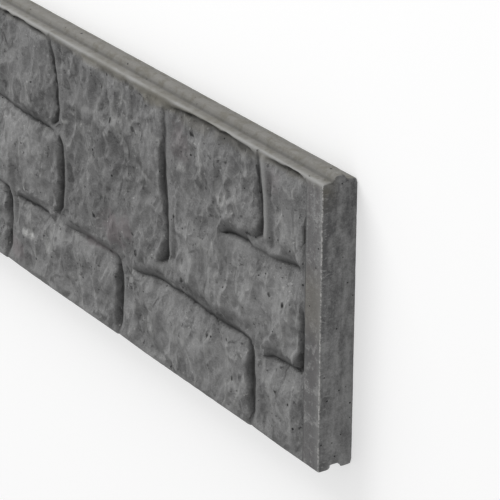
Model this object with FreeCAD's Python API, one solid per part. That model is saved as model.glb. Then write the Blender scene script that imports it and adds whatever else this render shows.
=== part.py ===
import FreeCAD
import Part
import itertools
import math
import os

# Board as it lies on its back: X along its length, Y up its height when it stands, Z out of the rock face
BOARD_LENGTH = 1840.0
BOARD_HEIGHT = 360.0
BOARD_THICKNESS = 48.0

# Tongue along the upper edge, and the groove in the lower edge that fits over the tongue of the board below
TONGUE_HEIGHT = 7.0
TONGUE_FOOT = 18.0
TONGUE_CREST = 11.0
GROOVE_CLEARANCE = 1.0

# Rounded arrises of the section, and of the two ends
FRONT_ARRIS = 3.0
BACK_ARRIS = 5.0
TONGUE_ARRIS = 2.0
END_ARRIS = 2.0

# Plain border of the rock face: end strips that stand in the post slots, and a rim above and below the stones
END_STRIP = 30.0
UPPER_RIM = 4.0
LOWER_RIM = 12.0
BORDER_DROP = 1.5

# Joints between the stones
JOINT_DEPTH = 6.5
JOINT_GAP = 3.0
JOINT_LEAN = 4.0

# Stones of the lower course, as widths from the right end strip
LOWER_COURSE_TOP = 104.0
LOWER_WIDTHS = (110.0, 307.0, 290.0, 268.0, 322.0, 250.0, 233.0)

# Bays above it: width from the right, and where the upper course splits, or 0 for one stone through both courses
MIDDLE_COURSE_TOP = 229.0
UPPER_BAYS = ((305.0, 92.0), (255.0, 0.0), (318.0, 205.0), (238.0, 0.0), (300.0, 126.0), (364.0, 215.0))

# Shape of one stone: clipped corners, and sides drafted to leave the mould up to a low lip round the face
NARROWEST_STONE = 95.0
STONE_CORNER = 14.0
SIDE_DRAFT = 1.5
LIP_HEIGHT = 2.0
STONE_ROOT = 4.0
STRIP_LAP = 8.0

# Each face stands out like a shingle: it falls steeply at its right and lower side, and gently at the other two
RIGHT_FALL = 6.0
LOWER_FALL = 11.0
LEFT_FALL = 45.0
UPPER_FALL = 24.0
FACE_CORNER = 8.0
FACE_DROPS = (0.0, 0.8, 0.4, 1.0, 0.6)

# Hollows that the hewing leaves in the faces: rows of shallow balls, each shifted and sunk in its turn
HOLLOW_SPACING = 88.0
HOLLOW_ROW = 68.0
HOLLOW_RADIUS = 230.0
HOLLOW_SHIFTS = (0.0, 21.0, -14.0, 27.0, -23.0, 9.0, -30.0)
HOLLOW_LIFTS = (0.0, -13.0, 10.0, 16.0, -8.0)
HOLLOW_DEPTHS = (7.0, 4.6, 6.0, 3.8, 6.6, 5.2)

# Share of a corner's two sides that its clipped middle point stands in, as on a round corner
CLIP_SHARE = 0.293

# How near an edge has to be to a place to be the one meant
NEAR = 0.01

BORDER_LEVEL = BOARD_THICKNESS - BORDER_DROP
SHOULDER = BOARD_HEIGHT / 2 - TONGUE_HEIGHT
LOWER_EDGE = -BOARD_HEIGHT / 2
RIGHT_END = BOARD_LENGTH / 2
FIELD_RIGHT = RIGHT_END - END_STRIP
FIELD_LENGTH = BOARD_LENGTH - 2 * END_STRIP
FIELD_LOW = LOWER_EDGE + LOWER_RIM
FIELD_HIGH = SHOULDER - UPPER_RIM
JOINT_FLOOR = BORDER_LEVEL - JOINT_DEPTH


def prism(points, direction):
    """Solid swept from a closed outline of points along a direction."""
    outline = Part.makePolygon([FreeCAD.Vector(*point) for point in points + points[:1]])
    return Part.Face(outline).extrude(FreeCAD.Vector(*direction))


def long_edges(shape, y, z):
    """Edges of a bar that run along X at one place in its section."""
    found = []
    for edge in shape.Edges:
        box = edge.BoundBox
        runs_along = box.YLength < NEAR and box.ZLength < NEAR
        if runs_along and abs(box.Center.y - y) < NEAR and abs(box.Center.z - z) < NEAR:
            found.append(edge)
    return found


def bar():
    """The board's section, tongue and groove included, run to its full length."""
    middle = BORDER_LEVEL / 2
    foot = TONGUE_FOOT / 2
    crest = TONGUE_CREST / 2
    mouth = foot + GROOVE_CLEARANCE
    root = crest + GROOVE_CLEARANCE
    tongue_top = BOARD_HEIGHT / 2
    groove_floor = LOWER_EDGE + TONGUE_HEIGHT + GROOVE_CLEARANCE
    section = [
        (LOWER_EDGE, 0.0),
        (SHOULDER, 0.0),
        (SHOULDER, middle - foot),
        (tongue_top, middle - crest),
        (tongue_top, middle + crest),
        (SHOULDER, middle + foot),
        (SHOULDER, BORDER_LEVEL),
        (LOWER_EDGE, BORDER_LEVEL),
        (LOWER_EDGE, middle + mouth),
        (groove_floor, middle + root),
        (groove_floor, middle - root),
        (LOWER_EDGE, middle - mouth),
    ]
    solid = prism([(-RIGHT_END, y, z) for y, z in section], (BOARD_LENGTH, 0, 0))
    rounded = (
        (FRONT_ARRIS, ((SHOULDER, BORDER_LEVEL), (LOWER_EDGE, BORDER_LEVEL))),
        (BACK_ARRIS, ((SHOULDER, 0.0), (LOWER_EDGE, 0.0))),
        (TONGUE_ARRIS, ((tongue_top, middle - crest), (tongue_top, middle + crest))),
    )
    for radius, places in rounded:
        edges = [edge for y, z in places for edge in long_edges(solid, y, z)]
        solid = solid.makeFillet(radius, edges)
    return solid


def end_edges(solid):
    """Straight upright edges of the two end faces, front and back."""
    found = []
    for edge in solid.Edges:
        box = edge.BoundBox
        at_end = box.XLength < NEAR and abs(abs(box.Center.x) - RIGHT_END) < NEAR
        on_face = box.ZLength < NEAR and (box.ZMin < NEAR or abs(box.ZMin - BORDER_LEVEL) < NEAR)
        if at_end and on_face:
            found.append(edge)
    return found


def outline(sides, leans, insets, radius, level):
    """Corner points of a stone at one level: its four sides moved in by their insets, and its corners clipped."""
    right, left, low, high = sides
    right_in, left_in, low_in, high_in = insets
    low_lean = low_in / (high - low)
    high_lean = 1.0 - high_in / (high - low)
    corners = [
        FreeCAD.Vector(right - right_in - leans[0] * low_lean, low + low_in, level),
        FreeCAD.Vector(right - right_in - leans[0] * high_lean, high - high_in, level),
        FreeCAD.Vector(left + left_in - leans[1] * high_lean, high - high_in, level),
        FreeCAD.Vector(left + left_in - leans[1] * low_lean, low + low_in, level),
    ]
    points = []
    for before, corner, after in zip(corners[-1:] + corners, corners, corners[1:] + corners[:1]):
        back = (before - corner).normalize() * radius
        ahead = (after - corner).normalize() * radius
        points += [corner + back, corner + (back + ahead) * CLIP_SHARE, corner + ahead]
    return points


def facet(points):
    """Flat face between corner points."""
    return Part.Face(Part.makePolygon(points + points[:1]))


def stone(right, left, low, high, drop):
    """One rock-faced stone: drafted sides, a low lip, and a face that stands out at its right and lower side."""
    half_gap = JOINT_GAP / 2
    in_outer_course = low < FIELD_LOW or high > FIELD_HIGH - NEAR
    laps_strip = right < NEAR and in_outer_course
    right_x = FIELD_RIGHT + STRIP_LAP if laps_strip else FIELD_RIGHT - right - half_gap
    sides = (right_x, FIELD_RIGHT - left + half_gap, low + half_gap, high - half_gap)
    leans = (JOINT_LEAN if right > NEAR else 0.0, JOINT_LEAN if left < FIELD_LENGTH - NEAR else 0.0)
    lip = [SIDE_DRAFT] * 4
    face = [SIDE_DRAFT + fall for fall in (RIGHT_FALL, LEFT_FALL, LOWER_FALL, UPPER_FALL)]
    layers = [
        outline(sides, leans, [0.0] * 4, STONE_CORNER, JOINT_FLOOR - STONE_ROOT),
        outline(sides, leans, lip, STONE_CORNER, JOINT_FLOOR + LIP_HEIGHT),
        outline(sides, leans, face, FACE_CORNER, BOARD_THICKNESS - drop),
    ]
    facets = [facet(layers[0]), facet(layers[-1])]
    for under, over in zip(layers, layers[1:]):
        for first in range(len(under)):
            second = (first + 1) % len(under)
            facets.append(facet([under[first], under[second], over[second], over[first]]))
    return Part.makeSolid(Part.makeShell(facets))


def hollow_places():
    """Middle and depth of each hollow, in staggered rows over the whole field."""
    shifts = itertools.cycle(HOLLOW_SHIFTS)
    lifts = itertools.cycle(HOLLOW_LIFTS)
    depths = itertools.cycle(HOLLOW_DEPTHS)
    places = []
    for row in range(math.ceil((FIELD_HIGH - LOWER_EDGE) / HOLLOW_ROW)):
        for column in range(math.ceil(FIELD_LENGTH / HOLLOW_SPACING) + 1):
            x = FIELD_RIGHT - (column + row % 2 / 2) * HOLLOW_SPACING - next(shifts)
            y = LOWER_EDGE + (row + 0.5) * HOLLOW_ROW + next(lifts)
            places.append((x, y, next(depths)))
    return places


def hew(block, places):
    """A stone with its face scooped out by the hollows that reach it."""
    box = block.BoundBox
    for x, y, depth in places:
        reach = math.sqrt(2 * HOLLOW_RADIUS * depth)
        if box.XMin - reach < x < box.XMax + reach and box.YMin - reach < y < box.YMax + reach:
            middle = FreeCAD.Vector(x, y, BOARD_THICKNESS + HOLLOW_RADIUS - depth)
            block = block.cut(Part.makeSphere(HOLLOW_RADIUS, middle, FreeCAD.Vector(0, 1, 0)))
    return block


def joint_places(widths, start, end):
    """Places of the joints from start to end, with the widths repeated as often as they fit."""
    places = [start]
    for width in itertools.cycle(widths):
        if places[-1] + width > end - NARROWEST_STONE:
            break
        places.append(places[-1] + width)
    return places + [end]


def course(places, low, high):
    """Right side, left side, lower and upper edge of each stone in a row of joints."""
    return [(right, left, low, high) for right, left in zip(places, places[1:])]


def stone_layout():
    """Every stone of the face: a lower course, and bays of two courses or one tall stone above it."""
    lower_line = LOWER_EDGE + LOWER_COURSE_TOP
    middle_line = LOWER_EDGE + MIDDLE_COURSE_TOP
    lower_places = joint_places(LOWER_WIDTHS, 0.0, FIELD_LENGTH)
    stones = course(lower_places, LOWER_EDGE + LOWER_RIM / 2, lower_line)
    bay_places = joint_places([width for width, split in UPPER_BAYS], 0.0, FIELD_LENGTH)
    splits = itertools.cycle([split for width, split in UPPER_BAYS])
    for right, left, split in zip(bay_places, bay_places[1:], splits):
        if split:
            stones += course([right, left], lower_line, middle_line)
            stones += course(joint_places((split, left - right), right, left), middle_line, FIELD_HIGH)
        else:
            stones += course([right, left], lower_line, FIELD_HIGH)
    return stones


def gravel_board():
    """The casting: the bar with its rock field sunk into the front, and the stones standing in the field."""
    solid = bar()
    solid = solid.makeFillet(END_ARRIS, end_edges(solid))
    field = Part.makeBox(
        FIELD_LENGTH, FIELD_HIGH - FIELD_LOW, BOARD_THICKNESS,
        FreeCAD.Vector(FIELD_RIGHT - FIELD_LENGTH, FIELD_LOW, JOINT_FLOOR),
    )
    solid = solid.cut(field)
    drops = itertools.cycle(FACE_DROPS)
    places = hollow_places()
    stones = []
    for right, left, low, high in stone_layout():
        stones.append(hew(stone(right, left, low, high, next(drops)), places))
    return solid.multiFuse(stones).removeSplitter()


os.makedirs("parts", exist_ok=True)
board = gravel_board()
board.exportStep("parts/gravel_board.step")
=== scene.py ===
import math

import bpy
import numpy as np
from mathutils import Matrix, Vector


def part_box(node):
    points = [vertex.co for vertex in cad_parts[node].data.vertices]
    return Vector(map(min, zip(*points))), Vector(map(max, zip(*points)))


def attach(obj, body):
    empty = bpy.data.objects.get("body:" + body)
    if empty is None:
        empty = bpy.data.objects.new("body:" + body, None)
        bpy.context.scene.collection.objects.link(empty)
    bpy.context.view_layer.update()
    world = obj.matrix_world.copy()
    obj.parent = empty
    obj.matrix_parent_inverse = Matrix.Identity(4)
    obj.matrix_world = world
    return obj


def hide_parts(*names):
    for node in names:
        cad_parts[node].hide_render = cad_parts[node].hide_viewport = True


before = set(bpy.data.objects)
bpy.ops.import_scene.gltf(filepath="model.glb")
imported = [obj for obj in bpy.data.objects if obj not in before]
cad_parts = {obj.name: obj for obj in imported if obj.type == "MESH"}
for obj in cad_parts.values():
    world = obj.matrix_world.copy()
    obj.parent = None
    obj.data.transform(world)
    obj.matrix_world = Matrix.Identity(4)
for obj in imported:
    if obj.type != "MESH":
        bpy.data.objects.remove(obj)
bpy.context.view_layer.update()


# The board is one casting of anthracite concrete, made in a steel mould with a rubber mat on its bed.
# This is the plain bar that the mould gives: flat back, tongue on the upper edge, groove in the lower edge.
BORDER_LEVEL = 0.0465
TONGUE_HEIGHT = 0.007
TONGUE_FOOT = 0.018
TONGUE_CREST = 0.011
GROOVE_DEPTH = 0.008
GROOVE_MOUTH = 0.020
GROOVE_FLOOR = 0.013
FRONT_ARRIS = 0.003
BACK_ARRIS = 0.005
TONGUE_ARRIS = 0.002
ARRIS_STEPS = 4
FACING = 0.9
LONG_RUN = 1.0
SAME_PLACE = 0.0005

board_low, board_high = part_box("gravel_board")
shoulder = board_high.y - TONGUE_HEIGHT
mid_thickness = BORDER_LEVEL / 2

bpy.ops.object.select_all(action="DESELECT")
bpy.ops.mesh.primitive_cube_add(size=1.0, location=(0.0, (board_low.y + shoulder) / 2, mid_thickness))
board = bpy.context.object
board.name = "rock_faced_board"
board.scale = (board_high.x - board_low.x, shoulder - board_low.y, BORDER_LEVEL)
bpy.ops.object.transform_apply(location=True, rotation=True, scale=True)


def select_faces(piece, wanted):
    """In edit mode, selects the faces whose middle and normal pass a test."""
    bpy.ops.mesh.select_mode(type="FACE")
    bpy.ops.mesh.select_all(action="DESELECT")
    bpy.ops.object.mode_set(mode="OBJECT")
    for face in piece.data.polygons:
        face.select = wanted(face.center, face.normal)
    bpy.ops.object.mode_set(mode="EDIT")


def select_edges(piece, wanted):
    """In edit mode, selects the edges whose two ends pass a test."""
    bpy.ops.mesh.select_mode(type="EDGE")
    bpy.ops.mesh.select_all(action="DESELECT")
    bpy.ops.object.mode_set(mode="OBJECT")
    corners = piece.data.vertices
    for edge in piece.data.edges:
        edge.select = wanted(corners[edge.vertices[0]].co, corners[edge.vertices[1]].co)
    bpy.ops.object.mode_set(mode="EDIT")


bpy.ops.object.mode_set(mode="EDIT")
for width in (TONGUE_FOOT, GROOVE_MOUTH):
    for side in (-1.0, 1.0):
        bpy.ops.mesh.select_all(action="SELECT")
        bpy.ops.mesh.bisect(plane_co=(0.0, 0.0, mid_thickness + side * width / 2), plane_no=(0.0, 0.0, 1.0))

select_faces(board, lambda place, out: out.y > FACING and abs(place.z - mid_thickness) < TONGUE_FOOT / 2)
bpy.ops.mesh.extrude_region_move(TRANSFORM_OT_translate={"value": (0.0, TONGUE_HEIGHT, 0.0)})
bpy.ops.transform.resize(
    value=(1.0, 1.0, TONGUE_CREST / TONGUE_FOOT), center_override=(0.0, board_high.y, mid_thickness)
)
select_faces(board, lambda place, out: out.y < -FACING and abs(place.z - mid_thickness) < GROOVE_MOUTH / 2)
bpy.ops.mesh.extrude_region_move(TRANSFORM_OT_translate={"value": (0.0, GROOVE_DEPTH, 0.0)})
bpy.ops.transform.resize(
    value=(1.0, 1.0, GROOVE_FLOOR / GROOVE_MOUTH),
    center_override=(0.0, board_low.y + GROOVE_DEPTH, mid_thickness),
)


def long_edge(y, z):
    """Test for an edge that runs the length of the board at one place of its section."""
    def on_edge(first, second):
        along = abs(first.x - second.x) > LONG_RUN
        return along and abs(first.y - y) < SAME_PLACE and abs(first.z - z) < SAME_PLACE
    return on_edge


for radius, y, z in (
    (FRONT_ARRIS, shoulder, BORDER_LEVEL),
    (FRONT_ARRIS, board_low.y, BORDER_LEVEL),
    (BACK_ARRIS, shoulder, 0.0),
    (BACK_ARRIS, board_low.y, 0.0),
    (TONGUE_ARRIS, board_high.y, mid_thickness - TONGUE_CREST / 2),
    (TONGUE_ARRIS, board_high.y, mid_thickness + TONGUE_CREST / 2),
):
    select_edges(board, long_edge(y, z))
    bpy.ops.mesh.bevel(offset=radius, segments=ARRIS_STEPS, affect="EDGES")
bpy.ops.object.mode_set(mode="OBJECT")

FACET = 0.0017
facets = board.modifiers.new("facets", "REMESH")
facets.mode = "VOXEL"
facets.voxel_size = FACET
bpy.ops.object.modifier_apply(modifier=facets.name)


# The rubber mat prints hewn stones into the front, laid as ashlar in three courses.
# Each path is the lower and the right edge of one stone, from left to right and then up, as metres from
# the board's right end, metres above its lower edge, and how deep the face steps down there.
STONE_EDGES = (
    # Upper course, from the right
    ((0.150, 0.240, 0.0), (0.138, 0.242, 0.003), (0.129, 0.248, 0.005), (0.1260, 0.260, 0.005),
     (0.127, 0.280, 0.005), (0.129, 0.300, 0.0045), (0.131, 0.325, 0.0035), (0.132, 0.342, 0.002)),
    ((0.354, 0.132, 0.0), (0.347, 0.134, 0.004), (0.340, 0.139, 0.007), (0.3365, 0.150, 0.0075),
     (0.335, 0.200, 0.0055), (0.3355, 0.250, 0.0045), (0.3350, 0.290, 0.0030), (0.3330, 0.325, 0.0020),
     (0.3320, 0.345, 0.0)),
    ((0.614, 0.227, 0.0), (0.606, 0.230, 0.004), (0.600, 0.237, 0.006), (0.598, 0.252, 0.0065),
     (0.602, 0.290, 0.0065), (0.606, 0.320, 0.005), (0.607, 0.342, 0.002)),
    ((0.900, 0.228, 0.003), (0.860, 0.231, 0.004), (0.820, 0.229, 0.004), (0.806, 0.233, 0.0045),
     (0.799, 0.241, 0.0055), (0.797, 0.260, 0.006), (0.799, 0.300, 0.005), (0.801, 0.340, 0.002)),
    ((0.940, 0.128, 0.0), (0.925, 0.131, 0.004), (0.914, 0.137, 0.0065), (0.909, 0.150, 0.007),
     (0.908, 0.200, 0.006), (0.910, 0.260, 0.0065), (0.911, 0.310, 0.0045), (0.912, 0.342, 0.001)),
    ((1.262, 0.228, 0.002), (1.210, 0.226, 0.004), (1.170, 0.229, 0.004), (1.158, 0.238, 0.005),
     (1.152, 0.250, 0.006), (1.151, 0.290, 0.0055), (1.154, 0.340, 0.002)),
    ((1.440, 0.228, 0.003), (1.380, 0.231, 0.004), (1.310, 0.232, 0.004), (1.285, 0.236, 0.005),
     (1.276, 0.246, 0.006), (1.274, 0.280, 0.006), (1.277, 0.320, 0.004), (1.279, 0.342, 0.0015)),
    ((1.655, 0.229, 0.002), (1.580, 0.226, 0.004), (1.500, 0.229, 0.0045), (1.468, 0.232, 0.0045),
     (1.455, 0.243, 0.006), (1.452, 0.280, 0.006), (1.455, 0.340, 0.002)),
    ((1.805, 0.232, 0.002), (1.740, 0.230, 0.004), (1.690, 0.231, 0.004), (1.672, 0.235, 0.005),
     (1.664, 0.245, 0.006), (1.662, 0.290, 0.006), (1.665, 0.340, 0.002)),
    # Beds between the upper and the middle course
    ((0.212, 0.222, 0.0), (0.203, 0.223, 0.005), (0.180, 0.225, 0.0065), (0.160, 0.227, 0.0055),
     (0.140, 0.227, 0.0020), (0.105, 0.227, 0.0020), (0.085, 0.228, 0.0045), (0.062, 0.231, 0.0055),
     (0.046, 0.231, 0.0045), (0.034, 0.230, 0.0)),
    ((0.795, 0.228, 0.003), (0.740, 0.223, 0.004), (0.700, 0.219, 0.0045), (0.660, 0.2185, 0.005),
     (0.622, 0.2205, 0.004), (0.604, 0.219, 0.003), (0.596, 0.213, 0.002)),
    # Middle course, from the right
    ((0.119, 0.099, 0.002), (0.108, 0.100, 0.0065), (0.080, 0.102, 0.0065), (0.058, 0.105, 0.006),
     (0.046, 0.110, 0.006), (0.0405, 0.122, 0.0065), (0.039, 0.150, 0.0065), (0.0385, 0.172, 0.0055),
     (0.037, 0.186, 0.002), (0.036, 0.194, 0.0)),
    ((0.613, 0.1085, 0.0), (0.606, 0.109, 0.003), (0.598, 0.1125, 0.005), (0.592, 0.122, 0.0065),
     (0.589, 0.150, 0.007), (0.588, 0.180, 0.007), (0.588, 0.205, 0.006), (0.589, 0.222, 0.002)),
    ((0.900, 0.106, 0.0), (0.870, 0.104, 0.003), (0.800, 0.104, 0.0035), (0.745, 0.101, 0.0030),
     (0.716, 0.097, 0.0), (0.702, 0.0955, 0.0050), (0.680, 0.0965, 0.0065), (0.650, 0.0975, 0.0060),
     (0.628, 0.0965, 0.0055), (0.614, 0.0955, 0.0025), (0.606, 0.095, 0.0)),
    ((1.430, 0.106, 0.003), (1.360, 0.108, 0.004), (1.280, 0.110, 0.0045), (1.200, 0.107, 0.0045),
     (1.165, 0.110, 0.0045), (1.152, 0.118, 0.006), (1.148, 0.135, 0.006), (1.147, 0.180, 0.006),
     (1.149, 0.215, 0.004), (1.150, 0.226, 0.002)),
    ((1.805, 0.108, 0.002), (1.720, 0.107, 0.004), (1.620, 0.110, 0.0045), (1.520, 0.107, 0.0045),
     (1.468, 0.110, 0.005), (1.453, 0.118, 0.006), (1.449, 0.135, 0.0065), (1.447, 0.180, 0.006),
     (1.449, 0.212, 0.005), (1.451, 0.225, 0.002)),
    # Beds under the tall stones
    ((0.425, 0.100, 0.0), (0.400, 0.102, 0.003), (0.360, 0.107, 0.0045), (0.325, 0.107, 0.005),
     (0.290, 0.105, 0.0065), (0.250, 0.101, 0.0065), (0.200, 0.102, 0.0065), (0.170, 0.105, 0.006),
     (0.152, 0.104, 0.005)),
    ((1.140, 0.106, 0.002), (1.080, 0.105, 0.0035), (1.020, 0.107, 0.004), (0.960, 0.109, 0.004),
     (0.915, 0.106, 0.002)),
    # Where the outer stones at the right meet the plain strip
    ((0.033, 0.012, 0.0), (0.033, 0.040, 0.0015), (0.033, 0.090, 0.0015), (0.033, 0.106, 0.0)),
    ((0.034, 0.240, 0.001), (0.034, 0.280, 0.0018), (0.034, 0.320, 0.0018), (0.034, 0.346, 0.001)),
)
# Lower course, from the right, where more dirt has washed into the joints and more painted shade darkens
# their shoulders
LOWER_EDGES = (
    ((0.1445, 0.004, 0.002), (0.144, 0.018, 0.0055), (0.144, 0.060, 0.006), (0.1445, 0.086, 0.006),
     (0.147, 0.097, 0.006), (0.153, 0.103, 0.005)),
    ((0.445, 0.004, 0.002), (0.445, 0.018, 0.006), (0.444, 0.050, 0.0075), (0.444, 0.084, 0.007),
     (0.447, 0.095, 0.006), (0.454, 0.101, 0.005)),
    ((0.732, 0.006, 0.002), (0.732, 0.022, 0.0070), (0.731, 0.060, 0.0085), (0.731, 0.086, 0.008),
     (0.734, 0.096, 0.007), (0.742, 0.101, 0.004)),
    ((1.004, 0.005, 0.002), (1.005, 0.020, 0.0055), (1.006, 0.060, 0.0065), (1.005, 0.086, 0.006),
     (1.008, 0.096, 0.0055), (1.015, 0.103, 0.004)),
    ((1.326, 0.005, 0.002), (1.327, 0.020, 0.0055), (1.328, 0.060, 0.006), (1.326, 0.086, 0.006),
     (1.329, 0.097, 0.0055), (1.336, 0.104, 0.004)),
    ((1.578, 0.005, 0.002), (1.577, 0.020, 0.0055), (1.576, 0.060, 0.0065), (1.577, 0.086, 0.006),
     (1.580, 0.097, 0.0055), (1.587, 0.104, 0.004)),
)
# A bed that was pointed up smooth, under the second tall stone
SMOOTH_BEDS = (
    ((0.596, 0.101, 0.0), (0.575, 0.101, 0.0020), (0.550, 0.101, 0.0040), (0.520, 0.102, 0.0050),
     (0.490, 0.101, 0.0055), (0.465, 0.100, 0.0055), (0.452, 0.099, 0.005)),
)
# A bed with a broad bevel over it, where the right tall stone was dressed back
BROAD_BEDS = (
    ((0.310, 0.106, 0.002), (0.285, 0.1045, 0.0055), (0.250, 0.101, 0.0065), (0.200, 0.102, 0.0070),
     (0.175, 0.1045, 0.0060), (0.158, 0.1045, 0.002)),
)
# Edge of the plain border where the stones start lower than it, above them and at the left end
BORDER_EDGES = (
    ((1.800, 0.345, 0.001), (1.700, 0.347, 0.004), (1.560, 0.346, 0.004), (1.470, 0.347, 0.002),
     (1.350, 0.347, 0.004), (1.200, 0.346, 0.004), (1.150, 0.347, 0.001), (0.900, 0.346, 0.001),
     (0.800, 0.347, 0.004), (0.640, 0.346, 0.004), (0.600, 0.345, 0.0)),
    ((0.325, 0.342, 0.0), (0.300, 0.345, 0.003), (0.250, 0.347, 0.0045), (0.190, 0.347, 0.0045),
     (0.148, 0.345, 0.003), (0.136, 0.342, 0.0)),
    ((0.118, 0.346, 0.0), (0.090, 0.347, 0.0035), (0.050, 0.348, 0.004), (0.033, 0.346, 0.0)),
    ((1.809, 0.014, 0.0), (1.810, 0.060, 0.003), (1.809, 0.200, 0.003), (1.810, 0.330, 0.003),
     (1.808, 0.345, 0.0)),
)
# Each kind of edge: width of its shoulder beside and below a stone, how round that is there,
# how far dirt reaches past the edge, how dirty the edge and its shoulder are, how dark the shoulder is
# painted as shade beside and below a stone, and whether mortar lies on it
KINDS_OF_EDGE = (
    (STONE_EDGES, (0.0062, 0.019), (2.2, 1.25), 0.003, 1.0, (0.34, 0.50), True),
    (BROAD_BEDS, (0.0260, 0.027), (1.3, 1.1), 0.003, 1.0, (0.50, 0.60), True),
    (LOWER_EDGES, (0.0074, 0.011), (1.8, 1.6), 0.006, 1.0, (0.60, 0.60), True),
    (SMOOTH_BEDS, (0.0160, 0.020), (1.5, 1.2), 0.006, 0.5, (0.38, 0.38), True),
    (BORDER_EDGES, (0.0050, 0.0050), (2.4, 2.4), 0.0055, 1.0, (0.0, 0.0), False),
)
# How far and how round the face falls at an edge, and how dirt, painted shade and mortar lie along it
EDGE_REACH = 0.1
JOINT_WOBBLE = 0.0012
WOBBLE_CELL = 0.014
DEEPER = 1.4
BED_DEEPER = 0.4
FULL_SHOULDER = 0.005
LEAST_SHOULDER = 0.4
SLOT_HALF = 0.0022
CREVICE = 0.005
CREVICE_SHARE = 0.35
RISE = (0.085, 0.045)
RISE_ROUNDNESS = 1.6
SHOULDER_SHADE_FADE = 0.6
GRIME_FADE = 1.8
DIRT_AND_SHADE_DEPTH = 0.004
MORTAR_BESIDE = 0.017
MORTAR_ABOVE = 0.013
MORTAR_DEPTH = 0.003
MORTAR_SMOOTHS = 0.85
# The plain border round the stones, and the levels between which a side becomes the front
END_STRIP = 0.0306
LOWER_RIM = 0.001
UPPER_RIM = 0.005
SIDE_LEVEL = 0.030
FRONT_LEVEL = 0.040


def ramp(values, start, end):
    """0 at start, 1 at end, and a smooth rise between them."""
    share = np.clip((values - start) / (end - start), 0.0, 1.0)
    return share * share * (3.0 - 2.0 * share)


def between(ends, share):
    """A value between two ends, by a share from 0 to 1."""
    return ends[0] + (ends[1] - ends[0]) * share


def nearest_on_path(along, up, path):
    """For points of the face: distance to a path, side of it, its depth there, and how level it runs."""
    distance = np.full(len(along), np.inf)
    side = np.zeros(len(along))
    depth = np.zeros(len(along))
    level = np.zeros(len(along))
    for (a0, u0, d0), (a1, u1, d1) in zip(path, path[1:]):
        run_x = a0 - a1
        run_y = u1 - u0
        length = math.hypot(run_x, run_y)
        off_x = a0 - along
        off_y = up - u0
        share = np.clip((off_x * run_x + off_y * run_y) / length ** 2, 0.0, 1.0)
        gap = np.hypot(off_x - share * run_x, off_y - share * run_y)
        nearer = gap < distance
        distance = np.where(nearer, gap, distance)
        side = np.where(nearer, np.sign(run_x * off_y - run_y * off_x), side)
        depth = np.where(nearer, d0 + share * (d1 - d0), depth)
        level = np.where(nearer, abs(run_x) / length, level)
    return distance, side, depth, level


def drift(along, up, cell, seed):
    """A soft wander over the face, between -1 and 1, that changes from one cell to the next."""
    knot_count = (int(along.max() / cell) + 4, int(up.max() / cell) + 4)
    knots = np.random.default_rng(seed).uniform(-1.0, 1.0, knot_count)
    column = np.floor(along / cell).astype(int) + 1
    row = np.floor(up / cell).astype(int) + 1
    over = ramp(along / cell + 1.0 - column, 0.0, 1.0)
    rise = ramp(up / cell + 1.0 - row, 0.0, 1.0)
    low = knots[column, row] * (1.0 - over) + knots[column + 1, row] * over
    high = knots[column, row + 1] * (1.0 - over) + knots[column + 1, row + 1] * over
    return low * (1.0 - rise) + high * rise


SCOOP_SHIFT = 0.5
SCOOP_TURN = 0.6
SCOOP_SINK = 0.35
SCOOP_LEAN = 0.5


def scoops(along, up, wide, tall, bow, crisp, seed):
    """Depth of the shallow scoops that flakes leave where they split off a stone, and the ridges between."""
    pick = np.random.default_rng(seed)
    columns = int(along.max() / wide) + 8
    rows = int(up.max() / tall) + 8
    shift_a, shift_u, sunk_by, lean_a, lean_u, turn = pick.uniform(-1.0, 1.0, (6, columns, rows))
    column = np.floor(along / wide).astype(int) + 3
    row = np.floor(up / tall).astype(int) + 3
    total = np.zeros(len(along))
    deepest = np.full(len(along), np.inf)
    for step_a in (-2, -1, 0, 1, 2):
        for step_u in (-2, -1, 0, 1, 2):
            place = (column + step_a, row + step_u)
            off_a = along / wide - (place[0] - 2.5 + SCOOP_SHIFT * shift_a[place])
            off_u = up / tall - (place[1] - 2.5 + SCOOP_SHIFT * shift_u[place])
            across = off_a - SCOOP_TURN * turn[place] * off_u
            bowl = across ** 2 + off_u ** 2 + SCOOP_SINK * sunk_by[place]
            bowl += SCOOP_LEAN * (lean_a[place] * across + lean_u[place] * off_u)
            total += np.exp(-crisp * bowl)
            deepest = np.minimum(deepest, bowl)
    ridge = np.clip(np.log(total) + crisp * deepest, 0.0, 1.0)
    return -bow * np.log(total) / crisp, ridge


HOLLOW_SPACING = 0.088
HOLLOW_ROW = 0.068
HOLLOW_RADIUS = 0.230
HOLLOW_SHIFTS = (0.0, 0.021, -0.014, 0.027, -0.023, 0.009, -0.030)
HOLLOW_LIFTS = (0.0, -0.013, 0.010, 0.016, -0.008)
HOLLOW_DEPTHS = (0.0070, 0.0046, 0.0060, 0.0038, 0.0066, 0.0052)
HOLLOWS_START = 0.030
HOLLOWS_LENGTH = 1.780
HOLLOWS_TOP = 0.349
FACE_OVER_BORDER = 0.0015
RIDGE_WEAR = 0.0003


def hollows(along, up):
    """Height of the stones' faces over the border, with staggered rows of shallow hollows hewn out."""
    total = np.full(len(along), math.exp(-FACE_OVER_BORDER / RIDGE_WEAR))
    count = 0
    for row in range(math.ceil(HOLLOWS_TOP / HOLLOW_ROW)):
        for column in range(math.ceil(HOLLOWS_LENGTH / HOLLOW_SPACING) + 1):
            shift = HOLLOW_SHIFTS[count % len(HOLLOW_SHIFTS)]
            lift = HOLLOW_LIFTS[count % len(HOLLOW_LIFTS)]
            floor_level = FACE_OVER_BORDER - HOLLOW_DEPTHS[count % len(HOLLOW_DEPTHS)]
            off_a = along - (HOLLOWS_START + (column + row % 2 / 2) * HOLLOW_SPACING + shift)
            off_u = up - ((row + 0.5) * HOLLOW_ROW + lift)
            height = floor_level + (off_a ** 2 + off_u ** 2) / (2 * HOLLOW_RADIUS)
            total += np.exp(-height / RIDGE_WEAR)
            count += 1
    return -RIDGE_WEAR * np.log(total)


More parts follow.
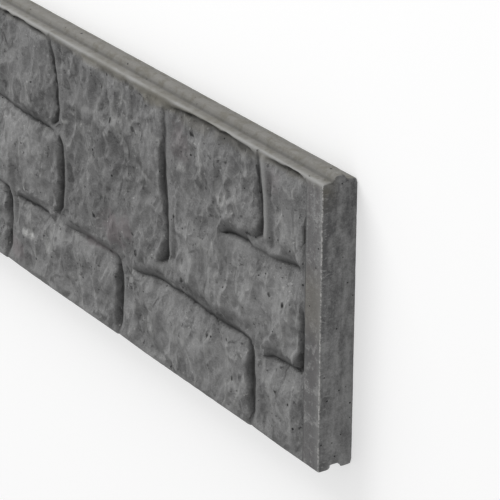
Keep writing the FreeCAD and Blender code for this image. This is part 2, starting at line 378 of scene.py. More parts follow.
places = np.empty(len(board.data.vertices) * 3, np.float32)
board.data.vertices.foreach_get("co", places)
places = places.reshape(-1, 3)
along = board_high.x - places[:, 0]
up = places[:, 1] - board_low.y
front = ramp(places[:, 2], SIDE_LEVEL, FRONT_LEVEL)
inside_x = np.minimum(along, board_high.x - board_low.x - along) - END_STRIP
inside_y = np.minimum(up - LOWER_RIM, shoulder - board_low.y - UPPER_RIM - up)
inside = np.minimum(inside_x, inside_y)
strip_hold = ramp(inside_x, 0.0, 0.004)
in_field = front * ramp(inside, 0.0005, 0.010)
on_face = np.nonzero(in_field > 0.0)[0]
sunk = np.zeros(len(places))
dirt_and_shade = np.zeros(len(places))
rough = np.ones(len(places))
for paths, shoulders, roundness, soiled, dirty, shaded, of_stone in KINDS_OF_EDGE:
    for path in paths:
        box_a = [point[0] for point in path]
        box_u = [point[1] for point in path]
        near = np.nonzero(
            (along > min(box_a) - EDGE_REACH) & (along < max(box_a) + EDGE_REACH)
            & (up > min(box_u) - EDGE_REACH) & (up < max(box_u) + EDGE_REACH) & (front > 0.0)
        )[0]
        wobble_a = along[near] + JOINT_WOBBLE * drift(along[near], up[near], WOBBLE_CELL, 21)
        wobble_u = up[near] + JOINT_WOBBLE * drift(along[near], up[near], WOBBLE_CELL, 22)
        distance, side, depth, level = nearest_on_path(wobble_a, wobble_u, path)
        slot = np.clip(depth / FULL_SHOULDER, LEAST_SHOULDER, 1.0) if of_stone else np.ones(len(near))
        distance = np.clip(distance - SLOT_HALF * slot * (1.0 - level) * of_stone, 0.0, None)
        shoulder_width = slot * between(shoulders, level ** 3)
        on_shoulder = np.clip(1.0 - distance / shoulder_width, 0.0, 1.0)
        high = on_shoulder ** between(roundness, level)
        low = np.clip(1.0 - distance / between(RISE, level), 0.0, 1.0) ** RISE_ROUNDNESS
        crevice = np.clip(1.0 - distance / CREVICE, 0.0, 1.0)
        low = low * (1.0 - CREVICE_SHARE + CREVICE_SHARE * crevice)
        step = DEEPER * depth * (1.0 + BED_DEEPER * level) * np.where(side > 0.0, high, low)
        sunk[near] = np.maximum(sunk[near], step)
        on_shoulder = on_shoulder * (side > 0.0)
        past_edge = np.clip(1.0 - distance / soiled, 0.0, 1.0) * (side <= 0.0)
        # Painted shade: the shoulder that falls into a joint is darkened in colour, as shade would darken it
        shoulder_shade = between(shaded, level) * on_shoulder ** SHOULDER_SHADE_FADE
        edge_dirt_and_shade = np.maximum(dirty * (on_shoulder + past_edge) ** GRIME_FADE, shoulder_shade)
        edge_dirt_and_shade = edge_dirt_and_shade * np.clip(depth / DIRT_AND_SHADE_DEPTH, 0.0, 1.0) * strip_hold[near]
        dirt_and_shade[near] = np.maximum(dirt_and_shade[near], edge_dirt_and_shade)
        if of_stone:
            mortar = np.where(side > 0.0, MORTAR_ABOVE * level, MORTAR_BESIDE * (1.0 - level))
            smooth = 1.0 - ramp(distance, 0.6 * mortar, mortar + 0.001)
            smooth = MORTAR_SMOOTHS * smooth * np.clip(depth / MORTAR_DEPTH, 0.0, 1.0)
            rough[near] = np.minimum(rough[near], 1.0 - smooth)
# A bead of mortar squeezed out beside the joint of the last two stones
BEAD = ((0.1160, 0.250, 0.0), (0.1165, 0.290, 0.0), (0.1180, 0.322, 0.0), (0.1190, 0.343, 0.0))
BEAD_HALF = 0.0062
BEAD_RISE = 0.0020
bead_gap = nearest_on_path(along, up, BEAD)[0]
bead = np.clip(1.0 - (bead_gap / BEAD_HALF) ** 3, 0.0, 1.0) * front
rough = np.minimum(rough, 1.0 - ramp(bead_gap, 0.009, 0.004))

# Flake scars of two sizes: width, height, bow, how sharp the ridge between two is, seed, and how pale its
# ridges are painted, for wear and as painted highlight
FLAKE_SCARS = (
    (0.020, 0.038, 0.0095, 60.0, 8, 0.6),
    (0.008, 0.013, 0.0040, 45.0, 5, 0.4),
)
WIDE_WANDER = 0.008
WIDE_CELL = 0.060
FINE_WANDER = 0.002
FINE_CELL = 0.018
HEWN_CELL = 0.050
FACE_RISE = 0.002
face_a = along[on_face]
face_u = up[on_face]


def strayed(values, first_seed):
    """Places on the face, moved as far as the lines of the hewing stray from their straight rows."""
    wide = WIDE_WANDER * drift(face_a, face_u, WIDE_CELL, first_seed)
    fine = FINE_WANDER * drift(face_a, face_u, FINE_CELL, first_seed + 1)
    return values + wide + fine


wander_a = strayed(face_a, 11)
wander_u = strayed(face_u, 13)
hewn = 0.8 + 0.3 * drift(face_a, face_u, HEWN_CELL, 15)
flaked = np.zeros(len(places))
wear_and_highlight = np.zeros(len(places))
flaked[on_face] = hollows(wander_a, wander_u)
for wide, tall, bow, crisp, seed, wear_and_sheen in FLAKE_SCARS:
    hollow, ridge = scoops(wander_a, wander_u, wide, tall, bow, crisp, seed)
    flaked[on_face] += (hollow - hollow.mean()) * hewn
    wear_and_highlight[on_face] += wear_and_sheen * ridge * hewn * (rough * in_field)[on_face]
flaked = np.minimum(flaked, FACE_RISE * np.tanh(flaked / FACE_RISE))
places[:, 2] += (flaked * rough * in_field - sunk * front + BEAD_RISE * bead) * strip_hold
board.data.vertices.foreach_set("co", places.ravel())
board.data.update()

# Dirt stays in the joints, painted shade darkens the corner at the foot of the tongue, and the arrises are
# painted pale as highlights
FOOT_SHADE = 0.55
RIM_HIGHLIGHT = 1.3
BEAD_HIGHLIGHT = 0.8
END_ARRIS_HIGHLIGHT = 0.5
tongue_foot = np.hypot(places[:, 1] - shoulder, np.abs(places[:, 2] - mid_thickness) - TONGUE_FOOT / 2)
# Painted shade in the corner at the foot of the tongue
dirt_and_shade = np.maximum(dirt_and_shade, FOOT_SHADE * ramp(tongue_foot, 0.004, 0.0005))
end_arris = np.hypot(board_high.x - np.abs(places[:, 0]), places[:, 2] - BORDER_LEVEL)
rim_arris = np.hypot(places[:, 1] - shoulder, places[:, 2] - BORDER_LEVEL)
# Painted highlights: the rim arris, the mortar bead and the front arrises of the ends are painted pale where
# light catches them
wear_and_highlight = np.maximum(wear_and_highlight, np.maximum(RIM_HIGHLIGHT * ramp(rim_arris, 0.0050, 0.002), BEAD_HIGHLIGHT * bead))
on_front = ramp(places[:, 2], BORDER_LEVEL - 0.002, BORDER_LEVEL - 0.0005)
wear_and_highlight = np.maximum(wear_and_highlight, END_ARRIS_HIGHLIGHT * ramp(end_arris, 0.010, 0.002) * on_front)


def carry(piece, name, values):
    """Lays one value for each point on a mesh, for its material to read."""
    layer = piece.data.attributes.new(name, "FLOAT", "POINT")
    layer.data.foreach_set("value", values.astype(np.float32))


# The dirt layer also carries painted shade on the stones' shoulders and at the foot of the tongue
carry(board, "dirt_and_shade", dirt_and_shade)
# The worn layer holds the wear and the painted highlights of the ridges and the arrises
carry(board, "wear_and_highlight", wear_and_highlight)
carry(board, "rock", in_field * rough)


# Marks on this board: lime that dried white, rust-violet stains, algae under the rim, and deep air holes.
# Each is metres from the right end, metres above the lower edge, half its length, half its height,
# and its strength.
MARKS = {
    "lime": (
        (0.674, 0.055, 0.015, 0.0048, 1.0), (0.686, 0.1145, 0.0050, 0.0042, 1.0),
        (0.626, 0.050, 0.007, 0.013, 0.45), (0.577, 0.242, 0.005, 0.004, 0.7),
        (0.3240, 0.112, 0.0045, 0.0035, 1.0), (0.2940, 0.274, 0.009, 0.004, 0.45),
        (0.2570, 0.292, 0.0022, 0.026, 0.50), (0.2040, 0.266, 0.010, 0.008, 0.30),
        (0.2030, 0.285, 0.004, 0.006, 0.30),
    ),
    "stain": (
        (0.455, 0.140, 0.030, 0.024, 0.9), (0.420, 0.153, 0.014, 0.020, 0.8),
        (0.500, 0.103, 0.045, 0.006, 0.8), (0.705, 0.022, 0.026, 0.013, 0.8),
        (0.300, 0.306, 0.022, 0.026, 0.6), (0.100, 0.322, 0.016, 0.016, 0.4),
    ),
    "algae": (
        (0.350, 0.345, 0.055, 0.010, 0.9), (0.470, 0.347, 0.060, 0.007, 0.6),
        (0.250, 0.348, 0.070, 0.005, 0.8), (0.268, 0.338, 0.038, 0.009, 0.5),
        (0.190, 0.339, 0.055, 0.007, 0.45), (0.090, 0.346, 0.050, 0.004, 0.5),
    ),
    "hole": (
        (0.4966, 0.1438, 0.0050, 0.0040, 1.0), (0.4724, 0.1490, 0.0050, 0.0042, 0.9),
        (0.5444, 0.1214, 0.0040, 0.0036, 0.8), (0.3969, 0.1290, 0.0060, 0.0050, 1.0),
        (0.4044, 0.1500, 0.0040, 0.0040, 0.8), (0.5037, 0.1279, 0.0045, 0.0070, 0.4),
        (0.4580, 0.2830, 0.0045, 0.0060, 0.9), (0.2458, 0.2658, 0.0045, 0.0040, 1.0),
        (0.2720, 0.3240, 0.0065, 0.0040, 0.9), (0.0890, 0.0660, 0.0060, 0.0050, 1.0),
        (0.0810, 0.1780, 0.0050, 0.0036, 0.9), (0.1070, 0.1810, 0.0040, 0.0034, 0.9),
        (0.5381, 0.0606, 0.0040, 0.0036, 0.8), (0.6002, 0.0582, 0.0050, 0.0036, 0.6),
        (0.2400, 0.0780, 0.0036, 0.0036, 0.9), (0.1900, 0.0400, 0.0040, 0.0050, 0.9),
        (0.3800, 0.2260, 0.0036, 0.0130, 0.7), (0.3830, 0.2850, 0.0035, 0.0090, 0.8),
        (0.3010, 0.1280, 0.0045, 0.0050, 0.8), (0.3020, 0.1500, 0.0034, 0.0085, 0.6),
        (0.3172, 0.2033, 0.0045, 0.0034, 0.9), (0.3610, 0.0680, 0.0060, 0.0080, 0.6),
        (0.1520, 0.2410, 0.0070, 0.0035, 0.8),
    ),
}
RAGGED = 0.35
RAGGED_CELL = 0.006
for name, spots in MARKS.items():
    mark = np.zeros(len(places))
    for middle_a, middle_u, half_a, half_u, strength in spots:
        reach = np.hypot((along - middle_a) / half_a, (up - middle_u) / half_u)
        reach += RAGGED * drift(along, up, RAGGED_CELL, 31)
        mark = np.maximum(mark, strength * ramp(reach, 1.25, 0.55) * front)
    carry(board, name, mark)

# The mat was filled by hand, so some stones came out a little paler or darker than the rest.
# Each is a stone's right, left, lower and upper side, and how much paler it is. The end strip is pale
# at the top, has a wet band across it, and is a little darker below that.
STONE_TONES = (
    (0.050, 0.325, 0.120, 0.220, 0.16),
    (0.140, 0.330, 0.240, 0.340, -0.10),
    (0.345, 0.585, 0.120, 0.340, -0.12),
    (0.150, 0.440, 0.010, 0.100, 0.04),
    (0.605, 0.790, 0.240, 0.340, -0.06),
    (0.605, 0.900, 0.115, 0.220, 0.05),
    (0.915, 1.140, 0.115, 0.340, 0.07),
    (1.290, 1.440, 0.240, 0.340, -0.08),
    (1.160, 1.440, 0.115, 0.220, -0.05),
    (1.460, 1.650, 0.240, 0.340, 0.06),
)
STRIP_PALE_TOP = 0.22
STRIP_WET_BAND = 0.60
STRIP_DARK_FOOT = 0.20
WET_BAND_HEIGHT = 0.150
tone = np.zeros(len(places))
for near_end, far_end, bottom, top, shade in STONE_TONES:
    over = np.minimum(np.minimum(along - near_end, far_end - along), np.minimum(up - bottom, top - up))
    tone += shade * ramp(over, -0.012, 0.020) * in_field
beside_stones = ramp(inside_x, 0.001, -0.001) * front
wet_band = STRIP_WET_BAND * ramp(np.abs(up - WET_BAND_HEIGHT), 0.030, 0.008)
dark_foot = STRIP_DARK_FOOT * ramp(up, WET_BAND_HEIGHT, 0.110)
tone += beside_stones * STRIP_PALE_TOP * ramp(up, 0.285, 0.335)
tone -= beside_stones * (wet_band + dark_foot)
carry(board, "tone", tone)


# The last relief in the casting: broad swells of the mat, grain of the hewn faces and wear of the mould.
# Each is pressed in by its own share of the surface, and then the mesh is thinned where it is flat.
WEIGHT_STEPS = 100


def weight_group(piece, name, weights):
    """Gives a mesh a vertex group with one weight for each vertex, in small steps."""
    group = piece.vertex_groups.new(name=name)
    steps = np.round(weights * WEIGHT_STEPS).astype(int)
    order = np.argsort(steps, kind="stable")
    levels = np.arange(1, WEIGHT_STEPS + 1)
    starts = np.searchsorted(steps[order], levels)
    ends = np.searchsorted(steps[order], levels, side="right")
    for step, start, end in zip(levels.tolist(), starts, ends):
        if end > start:
            group.add(order[start:end].tolist(), step / WEIGHT_STEPS, "REPLACE")


weight_group(board, "rock", in_field * rough)
weight_group(board, "mortar", in_field)
weight_group(board, "plain", 1.0 - in_field)


def press(piece, name, depth, group, grain, octaves, direction="Z", middle=0.5):
    """Works soft lumps into a piece, as the mat or the mould presses them into wet concrete."""
    texture = bpy.data.textures.new(name, "CLOUDS")
    texture.noise_scale = grain
    texture.noise_depth = octaves
    relief = piece.modifiers.new(name, "DISPLACE")
    relief.texture = texture
    relief.strength = depth
    relief.mid_level = middle
    relief.direction = direction
    relief.vertex_group = group
    relief.texture_coords = "LOCAL"
    bpy.ops.object.modifier_apply(modifier=relief.name)


press(board, "swells", 0.0020, "mortar", grain=0.090, octaves=1, middle=0.45)
press(board, "grain", 0.0007, "rock", grain=0.007, octaves=2)
press(board, "mould wear", 0.0005, "plain", grain=0.012, octaves=2, direction="NORMAL")

MOST_FACETS = 190000
SMOOTH_UNDER = math.radians(38.0)
thin = board.modifiers.new("fewer facets", "DECIMATE")
thin.ratio = MOST_FACETS / (2 * len(board.data.polygons))
bpy.ops.object.modifier_apply(modifier=thin.name)
bpy.ops.object.shade_smooth_by_angle(angle=SMOOTH_UNDER)


# The stuff of the board is anthracite concrete: grey paste with pale and dark patches, small air pores
# and light grains of sand. It is left as it came out of the mould, matt and unsealed.
concrete = bpy.data.materials.new("anthracite_concrete")
concrete.use_nodes = True
nodes = concrete.node_tree.nodes
links = concrete.node_tree.links
shader = nodes["Principled BSDF"]
shader.inputs["Roughness"].default_value = 0.88
shader.inputs["Specular IOR Level"].default_value = 0.3
object_place = nodes.new("ShaderNodeTexCoord").outputs["Object"]


def noise(scale, detail, roughness=0.55, vector=object_place, output="Fac"):
    """Soft noise over the board, by its own place or by one that was stretched or moved."""
    node = nodes.new("ShaderNodeTexNoise")
    node.inputs["Scale"].default_value = scale
    node.inputs["Detail"].default_value = detail
    node.inputs["Roughness"].default_value = roughness
    links.new(vector, node.inputs["Vector"])
    return node.outputs[output]


def cells(vector, cell, feature="F1"):
    """A pattern of cells of one size."""
    node = nodes.new("ShaderNodeTexVoronoi")
    node.feature = feature
    node.inputs["Scale"].default_value = 1.0 / cell
    links.new(vector, node.inputs["Vector"])
    return node.outputs


def spread(value, low, high, to_low, to_high):
    """Maps a value from one range to another."""
    node = nodes.new("ShaderNodeMapRange")
    node.inputs["From Min"].default_value = low
    node.inputs["From Max"].default_value = high
    node.inputs["To Min"].default_value = to_low
    node.inputs["To Max"].default_value = to_high
    links.new(value, node.inputs["Value"])
    return node.outputs["Result"]


def vary(value, to_low, to_high):
    """Maps what a noise mostly holds, 0.3 to 0.7, to another range."""
    return spread(value, 0.3, 0.7, to_low, to_high)


def combine(operation, first, *others):
    """The sum, product or largest of some values, taken one after the other."""
    for other in others:
        node = nodes.new("ShaderNodeMath")
        node.operation = operation
        for socket, value in zip(node.inputs, (first, other)):
            if isinstance(value, float):
                socket.default_value = value
            else:
                links.new(value, socket)
        first = node.outputs["Value"]
    return first


def away_from(value, middle):
    """How far a value is from a middle one, on either side."""
    return combine("ABSOLUTE", combine("SUBTRACT", value, middle), 0.0)


def combine_places(operation, *places):
    """One step of arithmetic with places or directions."""
    node = nodes.new("ShaderNodeVectorMath")
    node.operation = operation
    for socket, place in zip(node.inputs, places):
        if isinstance(place, tuple):
            socket.default_value = place
        else:
            links.new(place, socket)
    return node.outputs["Value" if operation == "DOT_PRODUCT" else "Vector"]


def tint(share, first, second):
    """A colour between two, by a share from 0 to 1."""
    node = nodes.new("ShaderNodeMix")
    node.data_type = "RGBA"
    links.new(share, node.inputs["Factor"])
    for socket, colour in ((node.inputs["A"], first), (node.inputs["B"], second)):
        if isinstance(colour, tuple):
            socket.default_value = colour
        else:
            links.new(colour, socket)
    return node.outputs["Result"]


def layer_value(name):
    """A value that the mesh carries for each point."""
    node = nodes.new("ShaderNodeAttribute")
    node.attribute_name = name
    return node.outputs["Fac"]


def pores(cell, radius, scatter):
    """1 inside round air pores scattered over the face, 0 outside."""
    pattern = cells(object_place, cell)
    split = nodes.new("ShaderNodeSeparateColor")
    links.new(pattern["Color"], split.inputs["Color"])
    size = spread(split.outputs["Red"], 1.0 - scatter, 1.0, 0.0, radius / cell)
    gap = combine("SUBTRACT", size, pattern["Distance"])
    return spread(gap, 0.0, 0.25 * radius / cell, 0.0, 1.0)


def stretched(vector, turn, scale):
    """A place with a pattern's own turn and stretch."""
    node = nodes.new("ShaderNodeMapping")
    node.inputs["Rotation"].default_value = (0.0, 0.0, turn)
    node.inputs["Scale"].default_value = scale
    links.new(vector, node.inputs["Vector"])
    return node.outputs["Vector"]


def wandered(vector, scale, reach):
    """A place moved about by soft noise, so that a pattern on it loses its straight lines."""
    push = noise(scale, 2.0, 0.5, vector, "Color")
    return combine_places("MULTIPLY_ADD", push, (reach, reach, reach), vector)


def bowls(vector, cell):
    """Depth of small flake scars, each hollowed out round its own middle."""
    return cells(vector, cell)["Distance"]


def ridges(vector, cell):
    """1 along the sharp ridge between two flake scars, 0 away from it."""
    return spread(cells(vector, cell, "DISTANCE_TO_EDGE")["Distance"], 0.0, 0.10, 1.0, 0.0)


def flat_flakes(vector, cell):
    """Height of flat flake beds, each tilted its own way, with a sharp step where two meet."""
    bed = cells(vector, cell)
    offset = combine_places("SUBTRACT", vector, bed["Position"])
    tilt = combine_places("SUBTRACT", bed["Color"], (0.5, 0.5, 0.5))
    return combine_places("DOT_PRODUCT", offset, tilt)


DARK_PASTE = (0.106, 0.106, 0.106, 1.0)
PALE_PASTE = (0.282, 0.282, 0.281, 1.0)
PORE_SHADE = (0.025, 0.025, 0.025, 1.0)
PALE_SAND = (0.42, 0.42, 0.41, 1.0)
JOINT_DIRT_AND_SHADE = (0.030, 0.030, 0.030, 1.0)
WORN_AND_LIT_EDGE = (0.330, 0.330, 0.325, 1.0)
CHIPPED_AND_LIT_EDGE = (0.520, 0.515, 0.500, 1.0)
LICHEN = (0.190, 0.183, 0.165, 1.0)
MOULD_OIL = (0.130, 0.123, 0.124, 1.0)
RUN_OFF = (0.165, 0.156, 0.138, 1.0)
END_DARK = (0.115, 0.115, 0.116, 1.0)
END_PALE = (0.310, 0.310, 0.308, 1.0)
ALGAE = (0.120, 0.112, 0.088, 1.0)
STAIN = (0.176, 0.156, 0.160, 1.0)
LIME = (0.560, 0.560, 0.550, 1.0)

place_parts = nodes.new("ShaderNodeSeparateXYZ")
links.new(object_place, place_parts.inputs["Vector"])
place_up = place_parts.outputs["Y"]
place_out = place_parts.outputs["Z"]
from_middle = away_from(place_parts.outputs["X"], 0.0)
rock = layer_value("rock")
mottle = noise(75.0, 5.0, 0.65)
speckle = noise(230.0, 3.0, 0.7)
sand = noise(520.0, 2.0, 0.7)
flaking = wandered(object_place, 26.0, 0.024)
hewing = noise(230.0, 3.0, 0.5, stretched(flaking, 0.35, (1.0, 0.42, 1.0)))
hewn_line = combine(
    "MULTIPLY",
    vary(hewing, -0.16, 0.16),
    rock,
    spread(noise(30.0, 3.0), 0.44, 0.60, 0.2, 1.0),
)
paste_share = combine(
    "ADD",
    vary(noise(16.0, 2.0), -0.03, 0.33),
    vary(mottle, 0.10, 0.24),
    vary(speckle, 0.02, 0.18),
    vary(sand, -0.16, 0.26),
    layer_value("tone"),
    hewn_line,
)
paste = tint(paste_share, DARK_PASTE, PALE_PASTE)

# Flakes that split off the stones: the ridges between them are painted pale, partly as wear and partly as
# painted highlight, and dark cracks with painted shade in them run through some
SCAR_CELL = 0.030
CHIP_CELL = 0.014
CRACK_CELL = 0.050
CRACK_SHADE = 0.40
LONG_FLAKE = (1.0, 0.5, 1.0)
LONG_CRACK = (1.0, 0.6, 1.0)
broken = combine("MULTIPLY", spread(noise(13.0, 2.0), 0.40, 0.58, 0.45, 1.0), rock)
scar_place = stretched(flaking, 0.30, LONG_FLAKE)
chip_place = stretched(flaking, 0.15, LONG_FLAKE)
crack_place = stretched(wandered(object_place, 45.0, 0.020), 0.6, LONG_CRACK)
scar_wear_and_highlight = spread(noise(34.0, 2.0), 0.48, 0.58, 0.0, 0.60)
scar_wear_and_highlight = combine("MULTIPLY", ridges(scar_place, SCAR_CELL), scar_wear_and_highlight)
chip_wear_and_highlight = spread(noise(41.0, 2.0), 0.50, 0.60, 0.0, 0.40)
chip_wear_and_highlight = combine("MULTIPLY", ridges(chip_place, CHIP_CELL), chip_wear_and_highlight)
ridge_wear_and_highlight = combine("MULTIPLY", combine("MAXIMUM", scar_wear_and_highlight, chip_wear_and_highlight), broken)
crack = combine(
    "MULTIPLY",
    spread(ridges(crack_place, CRACK_CELL), 0.55, 0.9, 0.0, 1.0),
    spread(noise(18.0, 2.0), 0.54, 0.62, 0.0, 0.8),
    rock,
)
# Wear and painted highlight: pale lines along the ridges between the flake scars
paste = tint(ridge_wear_and_highlight, paste, WORN_AND_LIT_EDGE)
paste = tint(combine("MULTIPLY", crack, CRACK_SHADE), paste, JOINT_DIRT_AND_SHADE)

# The upper edge, tinged by lichen and dotted with algae
upper_edge = spread(place_up, 0.158, 0.171, 0.0, 0.7)
rim_spots = combine("MULTIPLY", upper_edge, spread(noise(70.0, 4.0, 0.7), 0.48, 0.64, 0.0, 0.80))
paste = tint(upper_edge, paste, LICHEN)
paste = tint(rim_spots, paste, ALGAE)

# The plain end strips: streaks of mould oil, pale patches, dark grains, a brown run-off,
# and a painted shadow line where the stones start
STRIP_FROM = 0.8885
STRIP_TO = 0.8905
STRIP_LINE = 0.8892
RUN_OFF_HEIGHT = 0.026
streak = noise(130.0, 3.0, 0.5, stretched(object_place, 0.0, (1.0, 0.10, 1.0)))
front_only = spread(place_out, 0.036, 0.040, 0.0, 1.0)
front_only = combine("MULTIPLY", front_only, spread(place_up, 0.166, 0.171, 1.0, 0.0))
on_strip = combine("MULTIPLY", spread(from_middle, STRIP_FROM, STRIP_TO, 0.0, 1.0), front_only)
dark_grains = combine("MAXIMUM", spread(sand, 0.53, 0.61, 0.0, 0.80), spread(speckle, 0.54, 0.64, 0.0, 0.80))
for share, colour in (
    (spread(streak, 0.36, 0.64, 0.0, 0.9), MOULD_OIL),
    (spread(noise(95.0, 4.0, 0.65), 0.50, 0.64, 0.0, 0.60), WORN_AND_LIT_EDGE),
    (dark_grains, END_DARK),
    (spread(away_from(place_up, RUN_OFF_HEIGHT), 0.018, 0.050, 0.6, 0.0), RUN_OFF),
):
    paste = tint(combine("MULTIPLY", on_strip, share), paste, colour)
# Painted shadow: a thin dark line where the stones meet the strip
strip_shadow_line = combine(
    "MULTIPLY",
    spread(away_from(from_middle, STRIP_LINE), 0.0004, 0.0014, 0.75, 0.0),
    spread(noise(40.0, 3.0), 0.35, 0.55, 0.45, 1.0),
    front_only,
)
paste = tint(strip_shadow_line, paste, JOINT_DIRT_AND_SHADE)

# The two ends, struck off against the mould's end plates: blotchy, streaked and scratched,
# with painted shade towards the front face and the tongue, and painted light towards the back face
END_FROM = 0.9192
END_TO = 0.9197
blotches = noise(85.0, 5.0, 0.6, stretched(object_place, 0.0, (1.0, 0.45, 1.0)))
end_share = combine(
    "ADD",
    spread(blotches, 0.32, 0.68, -0.1, 0.75),
    vary(streak, -0.1, 0.3),
    vary(speckle, -0.20, 0.28),
    vary(sand, -0.16, 0.16),
    # Painted light: paler towards the back face; painted shade: darker towards the front face and the tongue
    spread(place_out, 0.0, 0.046, 0.30, -0.12),
    spread(place_up, -0.040, 0.020, 0.03, -0.14),
    spread(place_up, 0.100, 0.165, 0.0, -0.25),
)
end_paste = tint(end_share, END_DARK, END_PALE)
scratches = noise(420.0, 3.0, 0.5, stretched(object_place, 0.0, (1.0, 1.0, 0.40)))
scratch = spread(scratches, 0.58, 0.67, 0.0, 0.85)
scratch = combine("MULTIPLY", scratch, spread(place_out, 0.024, 0.046, 0.15, 1.0))
end_paste = tint(scratch, end_paste, WORN_AND_LIT_EDGE)
end_algae = combine(
    "MULTIPLY",
    spread(place_up, 0.135, 0.170, 0.0, 0.9),
    spread(place_out, 0.022, 0.040, 0.0, 1.0),
    spread(mottle, 0.35, 0.60, 0.3, 1.0),
)
end_paste = tint(end_algae, end_paste, ALGAE)
paste = tint(spread(from_middle, END_FROM, END_TO, 0.0, 1.0), paste, end_paste)

# Pale wear and painted highlights, chips and a painted highlight along the arrises of the ends, and then the
# marks, and the dirt and painted shade, over all of it
WEAR_AND_HIGHLIGHT_SHOWS = 0.5
STAIN_SHOWS = 0.75
ALGAE_SHOWS = 0.75
DIRT_AND_SHADE_SHOWS = 0.92
paste = tint(combine("MULTIPLY", layer_value("wear_and_highlight"), WEAR_AND_HIGHLIGHT_SHOWS), paste, WORN_AND_LIT_EDGE)
# Painted highlight: a thin pale line along the front arris of each end, broken by chips
end_gap = combine("SUBTRACT", board_high.x, from_middle)
front_gap = combine("SUBTRACT", BORDER_LEVEL, place_out)
chips_and_highlight = spread(combine("ADD", end_gap, front_gap), 0.0006, 0.0020, 1.0, 0.0)
chips_and_highlight = combine("MULTIPLY", chips_and_highlight, spread(noise(330.0, 2.0), 0.44, 0.60, 0.10, 1.0))
paste = tint(chips_and_highlight, paste, CHIPPED_AND_LIT_EDGE)
# The dirt layer darkens the joints with dirt, and the shoulders and the tongue's foot with painted shade
for name, shows, colour in (
    ("stain", STAIN_SHOWS, STAIN),
    ("algae", ALGAE_SHOWS, ALGAE),
    ("dirt_and_shade", DIRT_AND_SHADE_SHOWS, JOINT_DIRT_AND_SHADE),
):
    paste = tint(combine("MULTIPLY", layer_value(name), shows), paste, colour)
lime = combine("MULTIPLY", layer_value("lime"), spread(sand, 0.3, 0.6, 0.45, 1.0))
paste = tint(lime, paste, LIME)

# Air pores, pits and deep holes, and pale grains of sand with a little bloom
pits = combine(
    "MULTIPLY",
    spread(noise(150.0, 3.0, 0.6), 0.60, 0.67, 0.0, 0.65),
    spread(noise(28.0, 2.0), 0.48, 0.58, 0.0, 1.0),
    rock,
)
all_pores = combine(
    "MAXIMUM",
    pores(0.010, 0.0013, 0.4),
    pores(0.015, 0.0020, 0.4),
    pores(0.024, 0.0024, 0.5),
    pits,
    spread(layer_value("hole"), 0.40, 0.85, 0.0, 1.0),
)
bloom = combine(
    "MULTIPLY",
    spread(noise(170.0, 3.0, 0.6), 0.62, 0.69, 0.0, 0.6),
    spread(noise(22.0, 2.0), 0.45, 0.6, 0.0, 1.0),
    rock,
)
paste = tint(combine("MAXIMUM", pores(0.030, 0.0014, 0.25), bloom), paste, PALE_SAND)
paste = tint(all_pores, paste, PORE_SHADE)
links.new(paste, shader.inputs["Base Color"])

# Relief too fine for the mesh, in metres: sand, pores, lines of the hewing, flakes and cracks
SAND_RELIEF = 0.0006
PORE_DEPTH = 0.0012
LINE_RELIEF = 0.0040
SCAR_RELIEF = 0.0030
CHIP_RELIEF = 0.0012
CHIP_TILT = 0.80
CRACK_DEPTH = 0.0012
RELIEF_STRENGTH = 0.8
hewn_depth = combine(
    "ADD",
    combine("MULTIPLY", bowls(scar_place, SCAR_CELL), SCAR_RELIEF),
    combine("MULTIPLY", bowls(chip_place, CHIP_CELL), CHIP_RELIEF),
    flat_flakes(scar_place, SCAR_CELL),
    combine("MULTIPLY", flat_flakes(chip_place, CHIP_CELL), CHIP_TILT),
)
pore_depth = combine("MULTIPLY", all_pores, PORE_DEPTH)
depth = combine(
    "ADD",
    combine("SUBTRACT", spread(sand, 0.0, 1.0, 0.0, SAND_RELIEF), pore_depth),
    spread(speckle, 0.0, 1.0, 0.0, SAND_RELIEF),
    combine("MULTIPLY", hewn_line, LINE_RELIEF),
    combine("MULTIPLY", hewn_depth, broken),
)
depth = combine("SUBTRACT", depth, combine("MULTIPLY", crack, CRACK_DEPTH))
bump = nodes.new("ShaderNodeBump")
bump.inputs["Distance"].default_value = 1.0
bump.inputs["Strength"].default_value = RELIEF_STRENGTH
links.new(depth, bump.inputs["Height"])
links.new(bump.outputs["Normal"], shader.inputs["Normal"])

board.data.materials.append(concrete)
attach(board, "root")
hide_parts("gravel_board")


# A pale sheet under the board, white to the camera, which keeps the board's soft shadow.
# To the board it is mid grey, as a studio floor is, so that it throws little light back at its edges.
FLOOR_SIDE = 60.0
FLOOR_GREY = (0.62, 0.62, 0.62, 1.0)
FLOOR_WHITE = (0.58, 0.58, 0.58, 1.0)
FLOOR_GLOW = 0.47
bpy.ops.object.select_all(action="DESELECT")
bpy.ops.mesh.primitive_plane_add(size=FLOOR_SIDE)
floor = bpy.context.object
floor.name = "floor"
floor_paint = bpy.data.materials.new("floor_paint")
floor_paint.use_nodes = True
floor_nodes = floor_paint.node_tree.nodes
floor_links = floor_paint.node_tree.links
floor_shader = floor_nodes["Principled BSDF"]
floor_shader.inputs["Roughness"].default_value = 0.9
floor_shader.inputs["Emission Color"].default_value = (1.0, 1.0, 1.0, 1.0)
ray = floor_nodes.new("ShaderNodeLightPath")
seen = ray.outputs["Is Camera Ray"]
for kind in ("Is Glossy Ray", "Is Transmission Ray"):
    either = floor_nodes.new("ShaderNodeMath")
    either.operation = "MAXIMUM"
    floor_links.new(seen, either.inputs[0])
    floor_links.new(ray.outputs[kind], either.inputs[1])
    seen = either.outputs["Value"]
floor_colour = floor_nodes.new("ShaderNodeMix")
floor_colour.data_type = "RGBA"
floor_colour.inputs["A"].default_value = FLOOR_GREY
floor_colour.inputs["B"].default_value = FLOOR_WHITE
floor_links.new(seen, floor_colour.inputs["Factor"])
floor_links.new(floor_colour.outputs["Result"], floor_shader.inputs["Base Color"])
glow = floor_nodes.new("ShaderNodeMath")
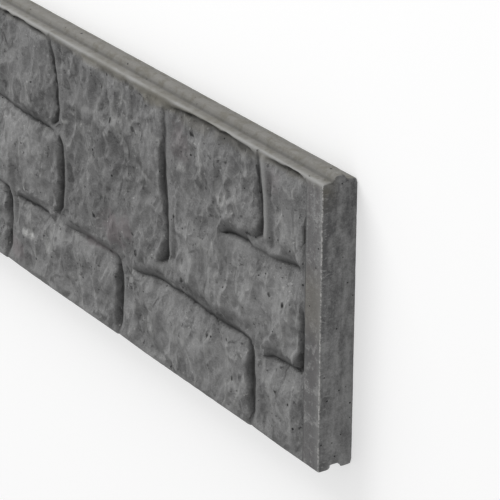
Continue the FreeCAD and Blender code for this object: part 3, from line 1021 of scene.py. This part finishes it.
glow.operation = "MULTIPLY"
glow.inputs[1].default_value = FLOOR_GLOW
floor_links.new(seen, glow.inputs[0])
floor_links.new(glow.outputs["Value"], floor_shader.inputs["Emission Strength"])
floor.data.materials.append(floor_paint)


# Soft studio light: a large square window from above the tongue edge and the far end,
# which faces the middle of what the camera sees of the board, and an even white sky.
WINDOW_PLACE = Vector((-1.4, 4.2, 1.9))
BOARD_MIDDLE = Vector((0.5, 0.0, 0.0))
WINDOW_SIDE = 3.0
WINDOW_POWER = 196.0
SKY_STRENGTH = 0.6
window = bpy.data.objects.new("window", bpy.data.lights.new("window", "AREA"))
window.data.size = WINDOW_SIDE
window.data.energy = WINDOW_POWER
window.location = WINDOW_PLACE
window.rotation_euler = (WINDOW_PLACE - BOARD_MIDDLE).to_track_quat("Z", "Y").to_euler()
bpy.context.scene.collection.objects.link(window)
sky = bpy.data.worlds.new("sky")
sky.use_nodes = True
sky_light = sky.node_tree.nodes["Background"]
sky_light.inputs["Color"].default_value = (1.0, 1.0, 1.0, 1.0)
sky_light.inputs["Strength"].default_value = SKY_STRENGTH
bpy.context.scene.world = sky


# The camera stands where the photographer stood: the photographed board is upright,
# and here it lies on its back, so the place and the turn of the camera are laid over with it.
CAMERA_PLACE = (3.3309, 1.3503, 1.7231)
TURN = 56.718
LOOK_DOWN = 23.142
ROLL = 0.386
LENS = 209.38
VIEW_END = 100.0
camera = bpy.data.objects.new("camera", bpy.data.cameras.new("camera"))
bpy.context.scene.collection.objects.link(camera)
laid_over = Matrix.Rotation(math.radians(-90.0), 4, "X")
turned = Matrix.Rotation(math.radians(TURN), 4, "Z")
tilted = Matrix.Rotation(math.radians(90.0 - LOOK_DOWN), 4, "X")
rolled = Matrix.Rotation(math.radians(ROLL), 4, "Z")
camera.matrix_world = Matrix.Translation(CAMERA_PLACE) @ laid_over @ turned @ tilted @ rolled
camera.data.lens = LENS
camera.data.clip_end = VIEW_END
bpy.context.scene.camera = camera
bpy.context.scene.view_settings.view_transform = "Standard"
